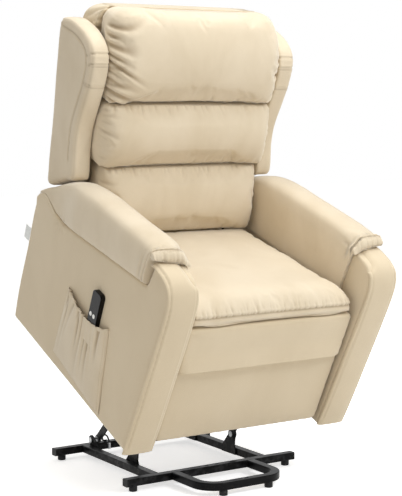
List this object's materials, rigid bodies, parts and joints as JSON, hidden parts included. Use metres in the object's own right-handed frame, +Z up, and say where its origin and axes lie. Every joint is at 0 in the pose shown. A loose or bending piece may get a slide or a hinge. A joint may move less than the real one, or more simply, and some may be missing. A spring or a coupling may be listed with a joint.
{
  "type": "lift recliner chair",
  "caption": "Upholstered riser recliner on a steel lift base, shown raised: padded arms and wings, three back pillows, fold-out footrest, side pocket with a wired hand control.",
  "frame": {"origin": "on the floor under the middle of the chair's overall box, with the lift raised", "axes": "+Z up, the sitter faces -Y, +X to the sitter's left"},
  "size_m": [0.7971, 0.9349, 1.4085],
  "materials": {
    "upholstery": "short-pile beige velvet, tone on tone",
    "black_steel": "semi-gloss black powder coat",
    "zinc": "bright zinc plated",
    "black_plastic": "fine moulded grain",
    "white_plastic": "smooth white plastic",
    "timber": "raw plywood",
    "white_cloth": "thin woven tag"
  },
  "bodies": {
    "base": {"base_side_rails": "black_steel", "base_rear_bar": "black_steel", "base_front_bar": "black_steel", "base_front_loop": "black_steel", "base_end_caps": "black_plastic", "base_feet": "black_plastic", "base_link_brackets": "black_steel", "base_pivot_rivets": "zinc", "motor_lead": "black_plastic", "motor_lead_connector": "zinc"},
    "lift_arm": {"lift_links_rear": "black_steel", "torque_tube": "black_steel", "torque_crank": "black_steel", "crank_pin": "zinc"},
    "front_lift_links": {"lift_links_front": "black_steel"},
    "chassis": {"lift_side_plates": "black_steel", "front_link_studs": "zinc", "torque_tube_bushes": "white_plastic", "recliner_side_plates": "black_steel", "front_cross_tube": "black_steel", "rear_motor_tube": "black_steel", "seat_frame": "black_steel", "seat_frame_bolts": "zinc", "seat_springs": "zinc", "seat_front_board": "timber", "arm_mount_bolts": "zinc", "arm_panel_left": "upholstery", "arm_panel_right": "upholstery", "arm_post_left": "upholstery", "arm_post_right": "upholstery", "arm_pad_left": "upholstery", "arm_pad_right": "upholstery", "seat_cushion": "upholstery", "side_pocket": "upholstery", "seam_tag": "white_cloth", "control_link_rivets": "zinc"},
    "back": {"back_frame": "black_steel", "back_hinge_bolts": "zinc", "back_cover": "upholstery", "wing_left": "upholstery", "wing_right": "upholstery", "head_pillow": "upholstery", "middle_pillow": "upholstery", "lumbar_pillow": "upholstery"},
    "actuator": {"actuator_motor": "black_plastic", "actuator_tube": "black_steel"},
    "rod": {"actuator_rod": "zinc"},
    "drive_link": {"drive_links": "black_steel"},
    "control_link": {"footrest_control_links": "black_steel"},
    "front_link": {"footrest_front_links": "black_steel"},
    "top_link": {"footrest_top_links": "black_steel"},
    "footrest": {"footrest_board": "timber", "footrest_brackets": "black_steel", "footrest_pad": "upholstery"},
    "flap": {"flap_board": "timber", "flap_pad": "upholstery"},
    "handset": {"handset_shell": "black_plastic", "handset_socket": "black_plastic"},
    "key_left": {"handset_key_left": "white_plastic"},
    "key_right": {"handset_key_right": "white_plastic"}
  },
  "joints": [
    {"name": "lift", "type": "hinge", "parent": "base", "child": "lift_arm", "pos_m": [0, 0.3365, 0.055], "axis": [1, 0, 0], "range_deg": [0, 45.43]},
    {"name": "front_lift_swing", "type": "hinge", "parent": "base", "child": "front_lift_links", "pos_m": [0, 0.05912, 0.084], "axis": [1, 0, 0], "range_deg": [-0.5, 59.7]},
    {"name": "chassis_tilt", "type": "hinge", "parent": "lift_arm", "child": "chassis", "pos_m": [0, 0.09326, 0.29055], "axis": [1, 0, 0], "range_deg": [-69.53, 0.5]},
    {"name": "actuator_swing", "type": "hinge", "parent": "chassis", "child": "actuator", "pos_m": [0, 0.34343, 0.51225], "axis": [1, 0, 0], "range_deg": [-4.48, 0.3]},
    {"name": "rod_slide", "type": "slide", "parent": "actuator", "child": "rod", "axis": [0, -0.6234, -0.7819], "range_m": [-0.06455, 0.0005]},
    {"name": "recline", "type": "hinge", "parent": "chassis", "child": "back", "pos_m": [0, 0.23995, 0.58926], "axis": [-1, 0, 0], "range_deg": [0, 38]},
    {"name": "footrest_raise", "type": "hinge", "parent": "chassis", "child": "drive_link", "pos_m": [0, -0.21637, 0.45974], "axis": [-1, 0, 0], "range_deg": [0, 90]},
    {"name": "control_link_swing", "type": "hinge", "parent": "chassis", "child": "control_link", "pos_m": [0, -0.14737, 0.45169], "axis": [-1, 0, 0], "range_deg": [-0.5, 90.5]},
    {"name": "front_link_swing", "type": "hinge", "parent": "drive_link", "child": "front_link", "pos_m": [0, -0.07914, 0.29052], "axis": [-1, 0, 0], "range_deg": [-90.5, 0.5]},
    {"name": "top_link_swing", "type": "hinge", "parent": "drive_link", "child": "top_link", "pos_m": [0, -0.11063, 0.32937], "axis": [-1, 0, 0], "range_deg": [-90.5, 0.5]},
    {"name": "footrest_turn", "type": "hinge", "parent": "front_link", "child": "footrest", "pos_m": [0, -0.26098, 0.34204], "axis": [-1, 0, 0], "range_deg": [-0.5, 90.5]},
    {"name": "flap_turn", "type": "hinge", "parent": "chassis", "child": "flap", "pos_m": [0, -0.39964, 0.51455], "axis": [-1, 0, 0], "range_deg": [-0.5, 90.5]},
    {"name": "handset_pull", "type": "slide", "parent": "chassis", "child": "handset", "axis": [0, -0.4003, 0.9164], "range_m": [0, 0.1]},
    {"name": "key_left_press", "type": "slide", "parent": "handset", "child": "key_left", "axis": [1, 0, 0], "range_m": [0, 0.001], "stiffness_N_per_m": 400, "springref_m": -0.002},
    {"name": "key_right_press", "type": "slide", "parent": "handset", "child": "key_right", "axis": [1, 0, 0], "range_m": [0, 0.001], "stiffness_N_per_m": 400, "springref_m": -0.002}
  ],
  "couplings": [
    {"joint": "front_lift_swing", "follows": "lift", "ratio": 1.303},
    {"joint": "chassis_tilt", "follows": "lift", "ratio": -1.5194},
    {"joint": "actuator_swing", "follows": "lift", "ratio": -0.092039},
    {"joint": "rod_slide", "follows": "lift", "m_per_rad": -0.080768},
    {"joint": "control_link_swing", "follows": "footrest_raise", "ratio": 1},
    {"joint": "front_link_swing", "follows": "footrest_raise", "ratio": -1},
    {"joint": "top_link_swing", "follows": "footrest_raise", "ratio": -1},
    {"joint": "footrest_turn", "follows": "footrest_raise", "ratio": 1},
    {"joint": "flap_turn", "follows": "footrest_raise", "ratio": 1}
  ]
}
